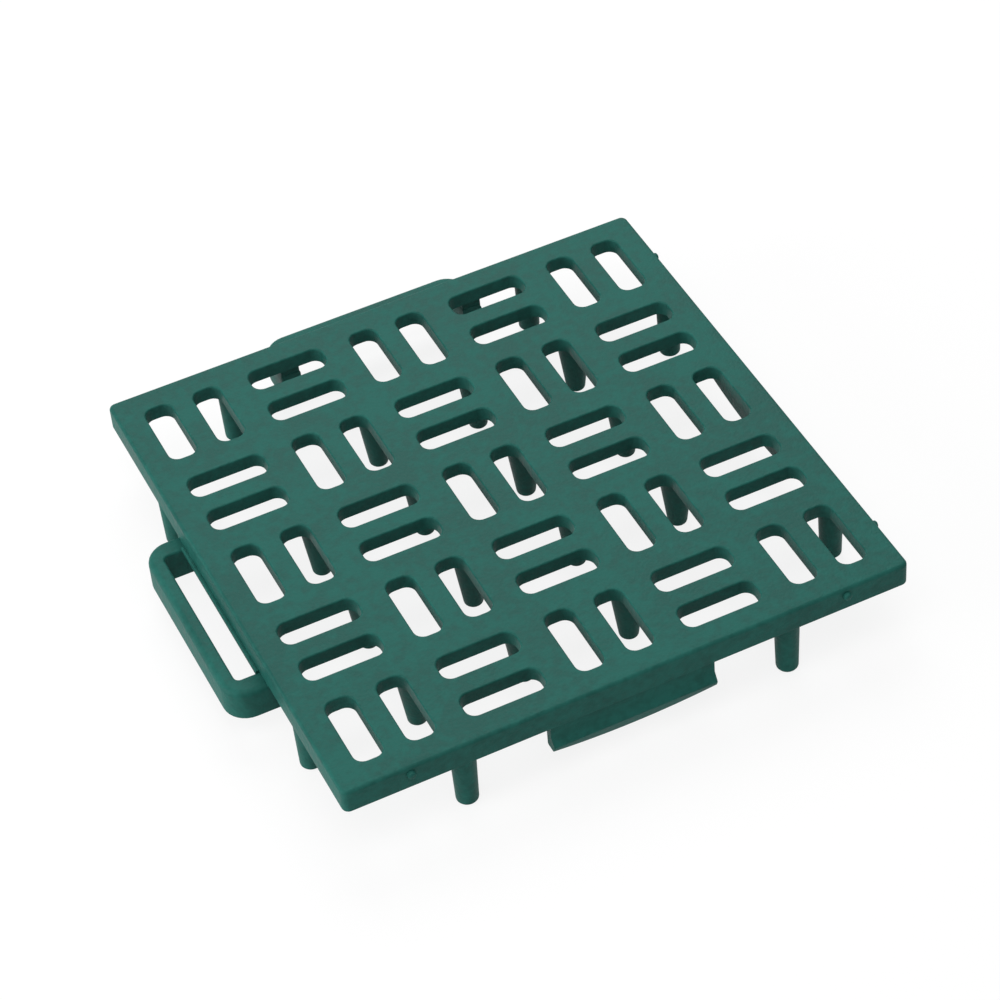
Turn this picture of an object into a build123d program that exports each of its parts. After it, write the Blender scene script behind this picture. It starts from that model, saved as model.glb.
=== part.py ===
from build123d import *
import math
import os

# A click-together floor tile, moulded in one piece: a slotted deck with a rim, ribs and legs below it,
# a clip loop on the left and back sides and a clip tongue on the front and right sides.
# X runs to the right along the front edge, Y to the back and Z up. The origin is on the floor,
# under the middle of the footprint with loops and pips. Sizes are in millimetres.

# Deck and rim
deck_side = 165.0  # outer side of the square deck
joint_gap = 1.7  # open joint between two clipped decks
tile_height = 25.0  # floor to walking face
deck_thickness = 4.5
deck_corner = 2.0  # corner radius of the deck in plan
edge_round = 1.0  # rounding along the deck's outer top edge
rim_depth = 7.5  # walking face to the rim's lower edge
rim_wall = 2.4

# Slots, in groups of two that lie along and across by turns
groups = 5  # groups along each side
border = 7.7  # rim face to the nearest slot
group_gap = 8.8  # deck between two groups
slot_bar = 6.4  # bar between the two slots of a group
slot_corner = 3.0

# Ribs and legs, on the lines between the groups
rib_depth = 7.5  # walking face to the ribs' lower edge
rib_wall = 2.0
post_diameter = 10.0  # at the deck, of the posts inside the rim
post_foot = 5.4
edge_leg_diameter = 7.2  # at the deck, of the legs at the rim
edge_leg_foot = 6.2
foot_bevel = 0.7
edge_leg_inset = 0.4  # rim face to the side of an edge leg
round_sides = 16  # flats that make up the round of a leg or pip

# Clip tongues
tongue_wall = 2.6
tongue_inset = 0.5  # rim face to tongue face
tongue_below = 0.4  # how far the tongue's middle passes below the loop
tongue_bow = 2.4  # how much deeper the tongue is in its middle
barb_proud = 1.6  # snap barb across the tongue's face
barb_drop = 6.5  # rim's lower edge to the barb's tip
barb_slope = 2.5  # height over which the barb comes out

# Clip loops
loop_length = 64.0
loop_arm = 6.0  # width of the two arms that carry the bar
loop_bar = 4.4
loop_thickness = 10.0
loop_root = 6.0  # how far the arms reach in under the deck
loop_corner = 7.0
loop_hole_corner = 1.5
loop_edge = 0.6  # bevel along the loop's top edge
catch_proud = 1.0  # catch on the rim, between a loop's arms, for the barb of the next tile
catch_drop = 1.5  # rim's lower edge to the catch's lower edge
clip_clearance = 0.5  # loop's top to the rim that passes over it
clip_slack = 1.8  # play of a tongue across a loop
tongue_play = 2.0  # play at each end of a tongue in a loop

# Spacer pips on the rim
pip_diameter = 2.4
pip_from_corner = 19.0
pip_drop = 2.5  # walking face to a pip's middle
pip_play = 0.5  # pip to the next deck's rim

# Sizes that follow
slot_length = (deck_side - 2 * border - (groups - 1) * group_gap) / groups
slot_width = (slot_length - slot_bar) / 2
group_pitch = slot_length + group_gap
rib_lines = [(line - groups / 2) * group_pitch for line in range(1, groups)]
deck_under = tile_height - deck_thickness
rim_under = tile_height - rim_depth
rim_face = deck_side / 2
edge_leg_offset = rim_face - edge_leg_inset - edge_leg_diameter / 2
loop_top = tile_height - max(rim_depth, rib_depth) - clip_clearance
loop_under = loop_top - loop_thickness
loop_hole = joint_gap + tongue_inset + tongue_wall + clip_slack
loop_reach = loop_hole + loop_bar
tongue_length = loop_length - 2 * loop_arm - 2 * tongue_play
tongue_middle = loop_under - tongue_below
tongue_ends = tongue_middle + tongue_bow
barb_tip = rim_under - barb_drop
pip_proud = joint_gap - pip_play
pip_offset = rim_face - pip_from_corner
footprint_shift = (loop_reach - pip_proud) / 2


def slot_pair(turn):
    slot = RectangleRounded(slot_width, slot_length, min(slot_corner, 0.48 * slot_width))
    apart = (slot_width + slot_bar) / 2
    return Rot(0, 0, turn) * (Pos(-apart, 0) * slot + Pos(apart, 0) * slot)


def slotted_deck():
    outline = RectangleRounded(deck_side, deck_side, deck_corner)
    middle = (groups - 1) / 2
    pairs = []
    for column in range(groups):
        for row in range(groups):
            place = Pos((column - middle) * group_pitch, (row - middle) * group_pitch)
            pairs.append(place * slot_pair(90 * ((column + row) % 2)))
    plate = Pos(0, 0, deck_under) * extrude(outline - pairs, deck_thickness)
    walking_face = plate.faces().sort_by(Axis.Z)[-1]
    return fillet(walking_face.outer_wire().edges(), edge_round)


def rim():
    outline = RectangleRounded(deck_side, deck_side, deck_corner)
    inside = Rectangle(deck_side - 2 * rim_wall, deck_side - 2 * rim_wall)
    return Pos(0, 0, rim_under) * extrude(outline - inside, rim_depth - deck_thickness)


def ribs():
    upright = (Align.CENTER, Align.CENTER, Align.MIN)
    rib = Box(rib_wall, deck_side - rim_wall, rib_depth - deck_thickness, align=upright)
    lines = Part()
    for line in rib_lines:
        lines += Pos(line, 0, tile_height - rib_depth) * rib
        lines += Pos(0, line, tile_height - rib_depth) * Rot(0, 0, 90) * rib
    return lines


def leg(diameter, foot_diameter):
    # drafted from the deck down to the foot
    peg = extrude(RegularPolygon(diameter / 2, round_sides), deck_under)
    sides = peg.faces().filter_by(Axis.Z, reverse=True)
    narrowing = (diameter - foot_diameter) / 2 * math.cos(math.pi / round_sides)
    slope = math.degrees(math.atan(narrowing / deck_under))
    peg = draft(sides, Plane.XY.offset(deck_under), -slope)
    return chamfer(peg.faces().sort_by(Axis.Z)[0].edges(), foot_bevel)


def posts():
    # on every crossing of the ribs but two corner ones
    post = leg(post_diameter, post_foot)
    last = groups - 2
    return [
        Pos(x, y, 0) * post
        for column, x in enumerate(rib_lines)
        for row, y in enumerate(rib_lines)
        if abs(column - row) != last
    ]


def edge_legs():
    edge_leg = leg(edge_leg_diameter, edge_leg_foot)
    ends = (rib_lines[0], rib_lines[-1])
    places = [place for line in ends for side in (-edge_leg_offset, edge_leg_offset)
              for place in ((side, line), (line, side))]
    return [Pos(x, y, 0) * edge_leg for x, y in places]


def tongue():
    # a blade with a snap barb, cut to a bowed lower edge
    half = tongue_length / 2
    bottom = ThreePointArc((-half, tongue_ends), (0, tongue_middle), (half, tongue_ends))
    sides = Polyline((half, tongue_ends), (half, deck_under), (-half, deck_under), (-half, tongue_ends))
    front = extrude(Plane.XZ * make_face(bottom + sides), tongue_wall, both=True)
    section = Polygon(
        (tongue_wall, deck_under),
        (0, deck_under),
        (0, barb_tip + barb_slope),
        (-barb_proud, barb_tip),
        (0, tongue_middle),
        (tongue_wall, tongue_middle),
        align=None,
    )
    blade = extrude(Plane.YZ * section, half, both=True)
    return Pos(0, tongue_inset - rim_face, 0) * (blade & front)


def loop():
    # a bar on two arms, each arm with a root that runs up to the deck behind the rim, and the catch between them
    outer = Rectangle(loop_length, loop_root + loop_reach, align=(Align.CENTER, Align.MIN))
    outer = fillet(outer.vertices().group_by(Axis.Y)[-1], loop_corner)
    hole = Rectangle(loop_length - 2 * loop_arm, loop_root + loop_hole, align=(Align.CENTER, Align.MIN))
    hole = fillet(hole.vertices().group_by(Axis.Y)[-1], loop_hole_corner)
    frame = extrude(outer - hole, loop_thickness)
    top_edges = frame.edges().group_by(Axis.Z)[-1]
    free_edges = top_edges.sort_by(Axis.Y)[2:]
    frame = chamfer(free_edges, loop_edge)
    root = Box(loop_arm, loop_root, deck_under - loop_under, align=(Align.CENTER, Align.MIN, Align.MIN))
    root_offset = (loop_length - loop_arm) / 2
    roots = [Pos(-root_offset, 0, 0) * root, Pos(root_offset, 0, 0) * root]
    upright = (Align.CENTER, Align.MIN, Align.MIN)
    catch = Box(loop_length - 2 * loop_arm, rim_wall + catch_proud, catch_drop, align=upright)
    catch = Pos(0, loop_root - rim_wall, rim_under - catch_drop - loop_under) * catch
    return Pos(0, rim_face - loop_root, loop_under) * (frame + roots + catch)


def pip():
    stud = extrude(RegularPolygon(pip_diameter / 2, round_sides), rim_wall + pip_proud)
    return Pos(0, rim_wall - rim_face, tile_height - pip_drop) * Rot(90, 0, 0) * stud


def floor_tile():
    stud = pip()
    legs = posts() + edge_legs()
    front_and_back = [tongue(), loop(), Pos(-pip_offset, 0, 0) * stud, Pos(pip_offset, 0, 0) * stud]
    right_and_left = [Rot(0, 0, 90) * feature for feature in front_and_back]
    features = [rim(), ribs()] + legs + front_and_back + right_and_left
    tile = slotted_deck() + features
    return Pos(footprint_shift, -footprint_shift, 0) * tile


os.makedirs("parts", exist_ok=True)
export_step(floor_tile(), "parts/floor_tile.step")
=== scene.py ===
import math
import bmesh
import bpy
from mathutils import Matrix, Vector


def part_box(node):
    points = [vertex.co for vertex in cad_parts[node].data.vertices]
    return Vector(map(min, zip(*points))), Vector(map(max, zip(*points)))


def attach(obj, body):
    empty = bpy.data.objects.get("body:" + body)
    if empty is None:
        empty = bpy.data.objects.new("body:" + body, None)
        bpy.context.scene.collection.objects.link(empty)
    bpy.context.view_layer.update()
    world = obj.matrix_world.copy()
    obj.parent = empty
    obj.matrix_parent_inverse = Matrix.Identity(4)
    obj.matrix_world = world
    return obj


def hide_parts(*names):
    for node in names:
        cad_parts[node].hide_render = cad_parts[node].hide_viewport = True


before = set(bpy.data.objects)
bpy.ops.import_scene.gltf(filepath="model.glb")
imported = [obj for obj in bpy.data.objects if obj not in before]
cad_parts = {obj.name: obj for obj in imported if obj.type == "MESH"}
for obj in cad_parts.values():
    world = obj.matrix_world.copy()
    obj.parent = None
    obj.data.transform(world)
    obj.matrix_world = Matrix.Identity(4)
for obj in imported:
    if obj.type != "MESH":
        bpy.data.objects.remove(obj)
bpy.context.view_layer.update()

mm = 0.001
near = 0.01 * mm   # places closer than this count as the same
mostly = 0.9       # a normal or an edge with this much of it along an axis runs that way
hardly = 0.2       # and one with less than this of it stands across the axis

# the tile is modelled round its deck's centre with its feet at z = 0, and moved to its place at the end
lowCorner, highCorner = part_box("floor_tile")
tileTop = highCorner.z - lowCorner.z


def startFresh():
    if bpy.context.object and bpy.context.object.mode != "OBJECT":
        bpy.ops.object.mode_set(mode="OBJECT")
    bpy.ops.object.select_all(action="DESELECT")


def useOnly(piece):
    startFresh()
    piece.select_set(True)
    bpy.context.view_layer.objects.active = piece


def addBox(name, size, centre):
    startFresh()
    bpy.ops.mesh.primitive_cube_add(size=1, location=centre)
    piece = bpy.context.object
    piece.name = name
    piece.scale = size
    bpy.ops.object.transform_apply(location=True, rotation=True, scale=True)
    return piece


def addRod(name, radius, height, sides):
    startFresh()
    bpy.ops.mesh.primitive_cylinder_add(
        vertices=sides, radius=radius, depth=height, location=(0, 0, height / 2))
    piece = bpy.context.object
    piece.name = name
    bpy.ops.object.transform_apply(location=True, rotation=True, scale=True)
    return piece


def openUp(piece):
    useOnly(piece)
    bpy.ops.object.mode_set(mode="EDIT")


def closeUp():
    bpy.ops.object.mode_set(mode="OBJECT")


def pickFaces(piece, test):
    bpy.ops.mesh.select_mode(type="FACE")
    bpy.ops.mesh.select_all(action="DESELECT")
    mesh = bmesh.from_edit_mesh(piece.data)
    for face in mesh.faces:
        face.select_set(test(face.calc_center_median(), face.normal))
    bmesh.update_edit_mesh(piece.data)


def pickPoints(piece, test):
    bpy.ops.mesh.select_mode(type="VERT")
    bpy.ops.mesh.select_all(action="DESELECT")
    mesh = bmesh.from_edit_mesh(piece.data)
    for point in mesh.verts:
        point.select_set(test(point.co))
    bmesh.update_edit_mesh(piece.data)


def pickEdges(piece, test):
    bpy.ops.mesh.select_mode(type="EDGE")
    bpy.ops.mesh.select_all(action="DESELECT")
    mesh = bmesh.from_edit_mesh(piece.data)
    mesh.normal_update()
    for edge in mesh.edges:
        edge.select_set(len(edge.link_faces) == 2 and test(edge, edge.verts[0].co, edge.verts[1].co))
    bmesh.update_edit_mesh(piece.data)


def isUpright(edge, a, b):
    return abs(a.z - b.z) > mostly * (a - b).length


def turnsAt(edge, z):
    # a level edge at this height between a level face and a standing one
    a, b = edge.verts[0].co, edge.verts[1].co
    if abs(a.z - z) > near or abs(b.z - z) > near:
        return False
    slopes = sorted(abs(face.normal.z) for face in edge.link_faces)
    return slopes[0] < hardly and slopes[1] > mostly


def sliceAt(axis, value):
    facing = [float(name == axis) for name in "xyz"]
    bpy.ops.mesh.select_all(action="SELECT")
    bpy.ops.mesh.bisect(plane_co=[value * part for part in facing], plane_no=facing)


def roundOff(width, steps):
    bpy.ops.mesh.bevel(
        offset=width, offset_type="OFFSET", segments=steps, affect="EDGES", clamp_overlap=False)


def quarterRound(radius, steps):
    # how far a rounding has gone out and up after each of its steps
    turns = [math.pi / 2 * step / steps for step in range(1, steps + 1)]
    return [(radius * (1 - math.cos(turn)), radius * math.sin(turn)) for turn in turns]


def pull(x, y, z):
    bpy.ops.mesh.extrude_region_move(TRANSFORM_OT_translate={"value": (x, y, z)})


def copyTo(source, x, y, turn=0):
    piece = source.copy()
    piece.data = source.data.copy()
    bpy.context.collection.objects.link(piece)
    piece.location = (x, y, 0)
    piece.rotation_euler.z = turn
    return piece


def joinAll(pieces, name):
    startFresh()
    for piece in pieces:
        piece.select_set(True)
    bpy.context.view_layer.objects.active = pieces[0]
    bpy.ops.object.join()
    joined = bpy.context.object
    joined.name = name
    bpy.ops.object.transform_apply(location=True, rotation=True, scale=True)
    return joined


def discard(piece):
    bpy.data.objects.remove(piece, do_unlink=True)


def combine(piece, other, how):
    useOnly(piece)
    step = piece.modifiers.new(how.lower(), "BOOLEAN")
    step.operation = how
    step.solver = "EXACT"
    step.object = other
    bpy.ops.object.modifier_apply(modifier=step.name)
    discard(other)


deck = {
    "side": 165 * mm,
    "thickness": 4.5 * mm,
    "cornerRound": 2 * mm,
    "cornerSteps": 6,
    "edgeRound": 1 * mm,     # outer top edge
    "edgeSteps": 5,
    "rimWall": 2.4 * mm,
    "rimDepth": 7.5 * mm,    # rim and ribs end at the same depth
    "ribWall": 2 * mm,
    "underRound": 0.35 * mm,
    "underSteps": 2,
}
slots = {
    "groups": 5,             # groups of two along each side
    "border": 7.7 * mm,      # rim face to the nearest slot
    "groupGap": 8.8 * mm,
    "bar": 6.4 * mm,         # between the two slots of a group
    "corner": 3 * mm,
    "cornerSteps": 7,
    "lip": 0.5 * mm,         # rounding where a slot meets the walking face
    "lipSteps": 4,
    "plugSpare": 1 * mm,     # how far the cutting plug passes the deck above and below
}
half = deck["side"] / 2
deckUnder = tileTop - deck["thickness"]
rimUnder = tileTop - deck["rimDepth"]
slotsAndGaps = deck["side"] - 2 * slots["border"]
slotLength = (slotsAndGaps - (slots["groups"] - 1) * slots["groupGap"]) / slots["groups"]
slotWidth = (slotLength - slots["bar"]) / 2
pitch = slotLength + slots["groupGap"]
ribLines = [(line - slots["groups"] / 2) * pitch for line in range(1, slots["groups"])]


def modelDeck():
    slab = addBox("floorTile", (deck["side"], deck["side"], deck["thickness"]),
                  (0, 0, (tileTop + deckUnder) / 2))
    openUp(slab)
    pickEdges(slab, isUpright)
    roundOff(deck["cornerRound"], deck["cornerSteps"])
    cuts = [-half + deck["rimWall"], half - deck["rimWall"]]
    for line in ribLines:
        cuts += [line - deck["ribWall"] / 2, line + deck["ribWall"] / 2]
    for cut in cuts:
        sliceAt("x", cut)
        sliceAt("y", cut)

    def hangsDown(centre, normal):
        if normal.z > -mostly:
            return False
        for across in (centre.x, centre.y):
            if abs(across) > half - deck["rimWall"]:
                return True
            if min(abs(across - line) for line in ribLines) < deck["ribWall"] / 2:
                return True
        return False

    pickFaces(slab, hangsDown)
    pull(0, 0, rimUnder - deckUnder)
    pickEdges(slab, lambda edge, a, b: turnsAt(edge, tileTop))
    roundOff(deck["edgeRound"], deck["edgeSteps"])
    pickEdges(slab, lambda edge, a, b: turnsAt(edge, rimUnder))
    roundOff(deck["underRound"], deck["underSteps"])
    closeUp()
    print("deck slab, rim and ribs:", len(slab.data.polygons), "faces")
    return slab


def modelSlotTool():
    # a plug with the slot's outline, flared at the top by the lip's quarter round
    lipStart = tileTop - slots["lip"]
    low = deckUnder - slots["plugSpare"]
    tool = addBox("slotTool", (slotWidth, slotLength, lipStart - low), (0, 0, (lipStart + low) / 2))
    openUp(tool)
    pickEdges(tool, isUpright)
    roundOff(slots["corner"], slots["cornerSteps"])
    grown, height = 0, lipStart
    pickFaces(tool, lambda centre, normal: normal.z > mostly)
    for out, up in quarterRound(slots["lip"], slots["lipSteps"]):
        pull(0, 0, lipStart + up - height)
        wider = (slotWidth / 2 + out) / (slotWidth / 2 + grown)
        longer = (slotLength / 2 + out) / (slotLength / 2 + grown)
        bpy.ops.transform.resize(value=(wider, longer, 1))
        grown, height = out, lipStart + up
    pull(0, 0, slots["plugSpare"])
    closeUp()
    return tool


def cutSlots(slab):
    tool = modelSlotTool()
    apart = (slotWidth + slots["bar"]) / 2
    middle = (slots["groups"] - 1) / 2
    plugs = []
    for column in range(slots["groups"]):
        for row in range(slots["groups"]):
            x, y = (column - middle) * pitch, (row - middle) * pitch
            for side in (-apart, apart):
                if (column + row) % 2:   # every other group lies across
                    plugs.append(copyTo(tool, x, y + side, math.pi / 2))
                else:
                    plugs.append(copyTo(tool, x + side, y))
    discard(tool)
    combine(slab, joinAll(plugs, "slotPlugs"), "DIFFERENCE")
    print("slots cut:", len(plugs))


legs = {
    "post": 10 * mm,         # diameter at the deck, of the posts inside the rim
    "postFoot": 5.4 * mm,
    "edgeLeg": 7.2 * mm,     # the same of the legs at the rim
    "edgeLegFoot": 6.2 * mm,
    "footRound": 0.9 * mm,
    "footSteps": 4,
    "root": 1.1 * mm,        # fillet under the deck, posts only
    "rootSteps": 4,
    "rootBite": 0.06 * mm,   # how far the fillet ends inside the deck
    "postBite": 0.5 * mm,    # and how far the post goes on from there
    "edgeLegBite": 1 * mm,   # how far an edge leg ends inside the deck
    "edgeInset": 0.4 * mm,   # rim face to the side of an edge leg
    "sides": 40,
}


def modelLeg(name, height):
    leg = addRod(name, legs[name] / 2, height, legs["sides"])
    openUp(leg)
    pickFaces(leg, lambda centre, normal: normal.z < -mostly)
    slim = legs[name + "Foot"] / legs[name]
    bpy.ops.transform.resize(value=(slim, slim, 1))
    pickEdges(leg, lambda edge, a, b: turnsAt(edge, 0))
    roundOff(legs["footRound"], legs["footSteps"])
    closeUp()
    return leg


def modelPost():
    # a leg that widens in a fillet where it meets the deck
    top = deckUnder + legs["rootBite"] - legs["root"]
    post = modelLeg("post", top)
    openUp(post)
    pickFaces(post, lambda centre, normal: normal.z > mostly)
    radius, height = legs["post"] / 2, top
    for out, up in quarterRound(legs["root"], legs["rootSteps"]):
        pull(0, 0, top + up - height)
        wider = (legs["post"] / 2 + out) / radius
        bpy.ops.transform.resize(value=(wider, wider, 1))
        radius, height = legs["post"] / 2 + out, top + up
    pull(0, 0, legs["postBite"])
    closeUp()
    return post


def modelLegs():
    post = modelPost()
    edgeLeg = modelLeg("edgeLeg", deckUnder + legs["edgeLegBite"])
    last = len(ribLines) - 1
    pegs = []
    for column, x in enumerate(ribLines):
        for row, y in enumerate(ribLines):
            if abs(column - row) != last:   # two corners of the grid have no post
                pegs.append(copyTo(post, x, y))
    offset = half - legs["edgeInset"] - legs["edgeLeg"] / 2
    for line in (ribLines[0], ribLines[-1]):
        for side in (-offset, offset):
            pegs.append(copyTo(edgeLeg, side, line))
            pegs.append(copyTo(edgeLeg, line, side))
    discard(post)
    discard(edgeLeg)
    print("legs:", len(pegs))
    return pegs


loop = {
    "length": 64 * mm,
    "reach": 11 * mm,
    "bar": 4.4 * mm,
    "arm": 6 * mm,
    "thickness": 10 * mm,
    "drop": 8 * mm,          # walking face to the loop's top
    "corner": 7 * mm,
    "cornerSteps": 8,
    "holeCorner": 1.5 * mm,
    "holeCornerSteps": 5,
    "outerRound": 1.8 * mm,  # outer top edge
    "outerSteps": 4,
    "edgeRound": 0.7 * mm,   # the other edges
    "edgeSteps": 3,
    "flatAngle": 1,          # degrees, faces that turn by less become one
    "root": 6 * mm,          # how far the arms reach in under the deck
    "rootInset": 0.15 * mm,  # rim face to the front of a root
    "rootSlim": 0.1 * mm,    # side of an arm to the side of its root
    "rootBite": 0.5 * mm,    # how far a root ends inside the deck
}


def modelLoop():
    # for the back side: the bar first, then its arms, which end under the deck
    outside = half + loop["reach"]
    inside = outside - loop["bar"]
    armEnd = half - loop["root"]
    top = tileTop - loop["drop"]
    low = top - loop["thickness"]
    bar = addBox("loop", (loop["length"], loop["bar"], loop["thickness"]),
                 (0, (inside + outside) / 2, (top + low) / 2))
    openUp(bar)
    holeHalf = loop["length"] / 2 - loop["arm"]
    sliceAt("x", -holeHalf)
    sliceAt("x", holeHalf)
    pickFaces(bar, lambda centre, normal: normal.y < -mostly and abs(centre.x) > holeHalf)
    pull(0, armEnd - inside, 0)
    # faces in one plane become one, because the corners are rounded further in than the arms are wide
    bpy.ops.mesh.select_all(action="SELECT")
    bpy.ops.mesh.dissolve_limited(angle_limit=math.radians(loop["flatAngle"]))
    pickEdges(bar, lambda edge, a, b: isUpright(edge, a, b) and a.y > outside - near)
    roundOff(loop["corner"], loop["cornerSteps"])
    pickEdges(bar, lambda edge, a, b: isUpright(edge, a, b) and abs(abs(a.x) - holeHalf) < near
              and abs(a.y - inside) < near)
    roundOff(loop["holeCorner"], loop["holeCornerSteps"])

    def isFree(edge, z):
        # an edge at this height, but not the end of an arm
        return turnsAt(edge, z) and max(point.co.y for point in edge.verts) > armEnd + near

    def isOuter(a, b):
        return max(a.y, b.y) > inside + near or min(abs(a.x), abs(b.x)) > holeHalf + near

    pickEdges(bar, lambda edge, a, b: isFree(edge, top) and isOuter(a, b))
    roundOff(loop["outerRound"], loop["outerSteps"])
    pickEdges(bar, lambda edge, a, b: isFree(edge, top) or isFree(edge, low))
    roundOff(loop["edgeRound"], loop["edgeSteps"])
    closeUp()
    return bar


def modelLoopRoot():
    # for the back side, up from the end of an arm to the deck, its front within the rim
    front = half - loop["rootInset"]
    back = half - loop["root"] + loop["rootSlim"]
    high = deckUnder + loop["rootBite"]
    low = tileTop - loop["drop"] - loop["thickness"] / 2
    root = addBox("loopRoot", (loop["arm"] - 2 * loop["rootSlim"], front - back, high - low),
                  (0, (front + back) / 2, (high + low) / 2))
    openUp(root)
    pickEdges(root, lambda edge, a, b: isUpright(edge, a, b) and a.y < back + near)
    roundOff(loop["edgeRound"], loop["edgeSteps"])
    closeUp()
    return root


catch = {
    "proud": 1 * mm,         # how far it stands out from the rim
    "drop": 1.5 * mm,        # rim's lower edge to its own
    "overlap": 0.3 * mm,     # how far its ends go into the loop's arms
    "bite": 0.4 * mm,        # how far its top goes into the rim
    "inset": 0.1 * mm,       # rim's inner face to its back
    "edgeRound": 0.45 * mm,
    "edgeSteps": 3,
}


def modelCatch():
    # for the back side, between the loop's arms and under the rim
    high, low = rimUnder + catch["bite"], rimUnder - catch["drop"]
    inside, outside = half - deck["rimWall"] + catch["inset"], half + catch["proud"]
    width = loop["length"] - 2 * loop["arm"] + 2 * catch["overlap"]
    lip = addBox("catch", (width, outside - inside, high - low),
                 (0, (inside + outside) / 2, (high + low) / 2))
    openUp(lip)
    pickEdges(lip, lambda edge, a, b: abs(a.x - b.x) > near and min(a.y, b.y) > outside - near)
    roundOff(catch["edgeRound"], catch["edgeSteps"])
    closeUp()
    return lip


tongue = {
    "length": 48 * mm,
    "wall": 2.6 * mm,
    "inset": 0.5 * mm,       # rim face to tongue face
    "ends": 16 * mm,         # walking face to the lower edge, at the ends
    "bow": 2.4 * mm,         # how much deeper the middle is
    "barb": 1.6 * mm,        # snap barb across the face
    "barbDrop": 6.5 * mm,    # rim's lower edge to the barb's tip
    "barbSlope": 2.5 * mm,   # height over which it comes out
    "edgeRound": 0.4 * mm,
    "edgeSteps": 2,
    "cuts": 15,              # slices across the blade that its bow follows
    "bite": 0.5 * mm,        # how far it ends inside the deck
}


def modelTongue():
    # for the front side: a blade with a snap barb across its face and a bowed lower edge
    outer = -half + tongue["inset"]
    low = tileTop - tongue["ends"]
    high = deckUnder + tongue["bite"]
    tip = rimUnder - tongue["barbDrop"]
    blade = addBox("tongue", (tongue["length"], tongue["wall"], high - low),
                   (0, outer + tongue["wall"] / 2, (high + low) / 2))
    openUp(blade)
    reach = tongue["length"] / 2
    spots = [reach * (2 * cut / (tongue["cuts"] + 1) - 1) for cut in range(tongue["cuts"] + 2)]
    for spot in spots[1:-1]:
        sliceAt("x", spot)
    sliceAt("z", tip + tongue["barbSlope"])
    sliceAt("z", tip)
    pickPoints(blade, lambda point: abs(point.z - tip) < near and abs(point.y - outer) < near)
    bpy.ops.transform.translate(value=(0, -tongue["barb"], 0))
    # the lower edge sinks along an arc, and the barb's lead-in runs out at its deepest point
    radius = (reach * reach + tongue["bow"] ** 2) / (2 * tongue["bow"])
    for spot in spots:
        sag = math.sqrt(radius * radius - spot * spot) - (radius - tongue["bow"])
        proud = tongue["barb"] * (tongue["bow"] - sag) / (tip - low + tongue["bow"])
        pickPoints(blade, lambda point: abs(point.x - spot) < near and abs(point.z - low) < near
                   and abs(point.y - outer) < near)
        bpy.ops.transform.translate(value=(0, -proud, 0))
        pickPoints(blade, lambda point: abs(point.x - spot) < near and abs(point.z - low) < near)
        bpy.ops.transform.translate(value=(0, 0, -sag))
    pickEdges(blade, lambda edge, a, b: max(a.z, b.z) < low + near and abs(a.x - b.x) > near)
    roundOff(tongue["edgeRound"], tongue["edgeSteps"])
    pickEdges(blade, lambda edge, a, b: max(abs(a.z - tip), abs(b.z - tip)) < near
              and abs(a.x - b.x) > near and max(a.y, b.y) < outer - near)
    roundOff(tongue["edgeRound"], tongue["edgeSteps"])
    closeUp()
    return blade


pips = {
    "diameter": 2.4 * mm,
    "proud": 1.2 * mm,
    "fromCorner": 19 * mm,
    "drop": 2.5 * mm,        # walking face to a pip's middle
    "endRound": 0.7 * mm,
    "endSteps": 4,
    "bite": 1 * mm,          # how far it goes into the rim
    "sides": 24,
}


def modelPip():
    # for the front side, made upright and then laid down
    length = pips["proud"] + pips["bite"]
    rod = addRod("pip", pips["diameter"] / 2, length, pips["sides"])
    openUp(rod)
    pickEdges(rod, lambda edge, a, b: turnsAt(edge, length))
    roundOff(pips["endRound"], pips["endSteps"])
    bpy.ops.mesh.select_all(action="SELECT")
    bpy.ops.transform.rotate(value=-math.pi / 2, orient_axis="X", center_override=(0, 0, 0))
    bpy.ops.transform.translate(value=(0, -half + pips["bite"], tileTop - pips["drop"]))
    closeUp()
    return rod


def modelClips():
    # loops, tongues and pips first, then what overlaps them, each set with no overlap within itself
    pip = modelPip()
    root = modelLoopRoot()
    pipSide = half - pips["fromCorner"]
    rootSide = (loop["length"] - loop["arm"]) / 2
    outer = [modelTongue(), modelLoop(), copyTo(pip, -pipSide, 0), copyTo(pip, pipSide, 0)]
    under = [modelCatch()]
    roots = [copyTo(root, -rootSide, 0), copyTo(root, rootSide, 0)]
    discard(pip)
    discard(root)
    sets = []
    for pieces in (outer, roots, under):
        for piece in pieces:
            useOnly(piece)
            bpy.ops.object.transform_apply(location=True, rotation=True, scale=True)
        # a quarter turn takes the front's pieces to the right side and the back's to the left
        sets.append(pieces + [copyTo(piece, 0, 0, math.pi / 2) for piece in pieces])
    print("clips and pips:", sum(len(pieces) for pieces in sets))
    return sets


wholeTile = {
    "mergeGap": 0.002 * mm,  # points closer than this become one
    "smoothAngle": 38,       # degrees, sharper edges stay crisp
}


def modelTile():
    tile = modelDeck()
    cutSlots(tile)
    for pieces in [modelLegs()] + modelClips():
        combine(tile, joinAll(pieces, "additions"), "UNION")
    # loops stand out to the left and the back, so the deck lies off the middle of the box
    place = Vector((lowCorner.x + loop["reach"] + half, highCorner.y - loop["reach"] - half, lowCorner.z))
    openUp(tile)
    bpy.ops.mesh.select_all(action="SELECT")
    bpy.ops.mesh.remove_doubles(threshold=wholeTile["mergeGap"])
    bpy.ops.mesh.normals_make_consistent(inside=False)
    bpy.ops.transform.translate(value=place)
    closeUp()
    bpy.ops.object.shade_smooth_by_angle(angle=math.radians(wholeTile["smoothAngle"]))
    step = tile.modifiers.new("evenNormals", "WEIGHTED_NORMAL")
    step.keep_sharp = True
    bpy.ops.object.modifier_apply(modifier=step.name)
    tile.data.calc_loop_triangles()
    print("floor tile:", len(tile.data.loop_triangles), "triangles")
    return tile


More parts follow.
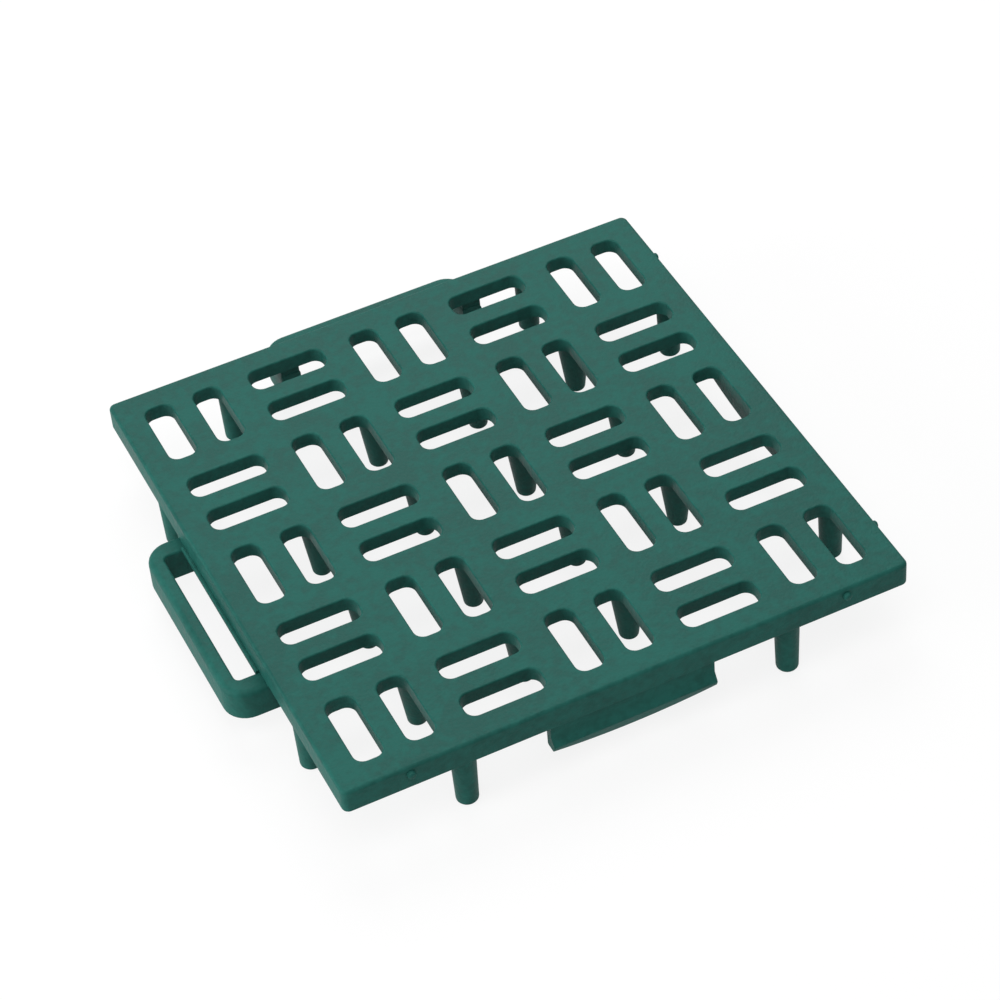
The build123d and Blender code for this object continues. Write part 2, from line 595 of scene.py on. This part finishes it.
def makeGreenPlastic():
    finish = {
        "colour": (0.0106, 0.0730, 0.0602, 1),
        "paleColour": (0.0146, 0.0980, 0.0808, 1),
        "cloudScale": 45,      # slow change of tone over a few slots
        "cloudDetail": 4,
        "mottleScale": 420,    # the same within one bar
        "mottleDetail": 3,
        "mottleLow": 0.82,     # sum of the two that gives the plain colour
        "mottleHigh": 1.18,    # and the pale one
        "grainScale": 1000,    # the mould's dull grain, about a millimetre
        "grainDetail": 3,
        "grainDepth": 0.22 * mm,
        "grainStrength": 0.6,
        "roughLow": 0.42,
        "roughHigh": 0.54,
        "sheen": 0.07,         # a dull moulded face, well below a polished one
        "refraction": 1.49,
    }
    plastic = bpy.data.materials.new("greenPlastic")
    plastic.use_nodes = True
    nodes, links = plastic.node_tree.nodes, plastic.node_tree.links
    shader = nodes["Principled BSDF"]
    shader.inputs["IOR"].default_value = finish["refraction"]
    shader.inputs["Specular IOR Level"].default_value = finish["sheen"]
    where = nodes.new("ShaderNodeTexCoord")

    def addNoise(size):
        noise = nodes.new("ShaderNodeTexNoise")
        noise.inputs["Scale"].default_value = finish[size + "Scale"]
        noise.inputs["Detail"].default_value = finish[size + "Detail"]
        links.new(where.outputs["Object"], noise.inputs["Vector"])
        return noise.outputs["Fac"]

    # two sizes of mottling, added and stretched to the full range
    both = nodes.new("ShaderNodeMath")
    both.operation = "ADD"
    links.new(addNoise("cloud"), both.inputs[0])
    links.new(addNoise("mottle"), both.inputs[1])
    spread = nodes.new("ShaderNodeMapRange")
    spread.inputs["From Min"].default_value = finish["mottleLow"]
    spread.inputs["From Max"].default_value = finish["mottleHigh"]
    links.new(both.outputs["Value"], spread.inputs["Value"])
    tint = nodes.new("ShaderNodeMix")
    tint.data_type = "RGBA"
    tint.inputs["A"].default_value = finish["colour"]
    tint.inputs["B"].default_value = finish["paleColour"]
    links.new(spread.outputs["Result"], tint.inputs["Factor"])
    links.new(tint.outputs["Result"], shader.inputs["Base Color"])
    rough = nodes.new("ShaderNodeMapRange")
    rough.inputs["To Min"].default_value = finish["roughLow"]
    rough.inputs["To Max"].default_value = finish["roughHigh"]
    links.new(spread.outputs["Result"], rough.inputs["Value"])
    links.new(rough.outputs["Result"], shader.inputs["Roughness"])
    bump = nodes.new("ShaderNodeBump")
    bump.inputs["Strength"].default_value = finish["grainStrength"]
    bump.inputs["Distance"].default_value = finish["grainDepth"]
    links.new(addNoise("grain"), bump.inputs["Height"])
    links.new(bump.outputs["Normal"], shader.inputs["Normal"])
    print("green plastic:", len(nodes), "nodes")
    return plastic


def addSeenRays(nodes, links):
    # 1 where the camera sees a thing straight on, mirrored or through something, and 0 for its light
    path = nodes.new("ShaderNodeLightPath")
    mirrored = nodes.new("ShaderNodeMath")
    mirrored.operation = "ADD"
    links.new(path.outputs["Is Camera Ray"], mirrored.inputs[0])
    links.new(path.outputs["Is Glossy Ray"], mirrored.inputs[1])
    seen = nodes.new("ShaderNodeMath")
    seen.operation = "ADD"
    seen.use_clamp = True
    links.new(mirrored.outputs["Value"], seen.inputs[0])
    links.new(path.outputs["Is Transmission Ray"], seen.inputs[1])
    return seen.outputs["Value"]


def makeFloor():
    studioFloor = {
        "size": 6,
        "paper": (0.85, 0.85, 0.85, 1),
        "roughness": 0.9,
        "glow": 1,           # seen as white
        "glowShare": 0.85,   # the rest shows the shadow
    }
    startFresh()
    bpy.ops.mesh.primitive_plane_add(size=studioFloor["size"], location=(0, 0, lowCorner.z - near))
    floor = bpy.context.object
    floor.name = "studioFloor"
    paper = bpy.data.materials.new("whitePaper")
    paper.use_nodes = True
    nodes, links = paper.node_tree.nodes, paper.node_tree.links
    diffuse = nodes["Principled BSDF"]
    diffuse.inputs["Base Color"].default_value = studioFloor["paper"]
    diffuse.inputs["Roughness"].default_value = studioFloor["roughness"]
    glow = nodes.new("ShaderNodeEmission")
    glow.inputs["Strength"].default_value = studioFloor["glow"]
    share = nodes.new("ShaderNodeMath")
    share.operation = "MULTIPLY"
    share.inputs[1].default_value = studioFloor["glowShare"]
    links.new(addSeenRays(nodes, links), share.inputs[0])
    blend = nodes.new("ShaderNodeMixShader")
    links.new(share.outputs["Value"], blend.inputs["Fac"])
    links.new(diffuse.outputs["BSDF"], blend.inputs[1])
    links.new(glow.outputs["Emission"], blend.inputs[2])
    links.new(blend.outputs["Shader"], nodes["Material Output"].inputs["Surface"])
    floor.data.materials.append(paper)


def addSoftbox(name, box):
    lamp = bpy.data.lights.new(name, "AREA")
    lamp.shape = "DISK"
    lamp.size = box["size"]
    lamp.energy = box["power"]
    holder = bpy.data.objects.new(name, lamp)
    bpy.context.collection.objects.link(holder)
    holder.location = box["place"]
    holder.rotation_euler = (-Vector(box["place"])).to_track_quat("-Z", "Y").to_euler()


def makeLight():
    studio = {
        "white": (1, 1, 1, 1),
        "sky": 0.3,
        "backdrop": 1,       # seen as white
    }
    softboxes = {
        "backBox": {"place": (0.3, 0.8, 0.9), "size": 0.9, "power": 9},
        "topBox": {"place": (-0.3, -0.35, 1.25), "size": 1.1, "power": 9},
        "leftBox": {"place": (-1.2, 0.1, 0.3), "size": 0.8, "power": 12},
    }
    world = bpy.data.worlds.new("studio")
    bpy.context.scene.world = world
    world.use_nodes = True
    nodes, links = world.node_tree.nodes, world.node_tree.links
    sky = nodes["Background"]
    sky.inputs["Color"].default_value = studio["white"]
    sky.inputs["Strength"].default_value = studio["sky"]
    backdrop = nodes.new("ShaderNodeBackground")
    backdrop.inputs["Color"].default_value = studio["white"]
    backdrop.inputs["Strength"].default_value = studio["backdrop"]
    blend = nodes.new("ShaderNodeMixShader")
    links.new(addSeenRays(nodes, links), blend.inputs["Fac"])
    links.new(sky.outputs["Background"], blend.inputs[1])
    links.new(backdrop.outputs["Background"], blend.inputs[2])
    links.new(blend.outputs["Shader"], nodes["World Output"].inputs["Surface"])
    for name, box in softboxes.items():
        addSoftbox(name, box)
    print("floor, sky and softboxes in place")


def makeCamera():
    view = {
        "azimuth": -22,      # from the front, towards the left
        "elevation": 44.7,
        "range": 0.95,
        "roll": 5.4,
        "lens": 123,
        "sensor": 36,
        "aim": (0.008, 0.0, 0.012),
    }
    around, up = math.radians(view["azimuth"]), math.radians(view["elevation"])
    away = Vector((math.sin(around) * math.cos(up), -math.cos(around) * math.cos(up), math.sin(up)))
    aim = Vector(view["aim"])
    eye = bpy.data.cameras.new("camera")
    eye.sensor_width = view["sensor"]
    eye.lens = view["lens"]
    camera = bpy.data.objects.new("camera", eye)
    bpy.context.collection.objects.link(camera)
    camera.location = aim + away * view["range"]
    level = (-away).to_track_quat("-Z", "Y").to_matrix()
    camera.rotation_euler = (level @ Matrix.Rotation(math.radians(-view["roll"]), 3, "Z")).to_euler()
    bpy.context.scene.camera = camera
    print("camera in place")


tile = modelTile()
tile.data.materials.clear()
tile.data.materials.append(makeGreenPlastic())
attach(tile, "root")
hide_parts("floor_tile")
makeFloor()
makeLight()
makeCamera()
bpy.context.scene.view_settings.view_transform = "Standard"
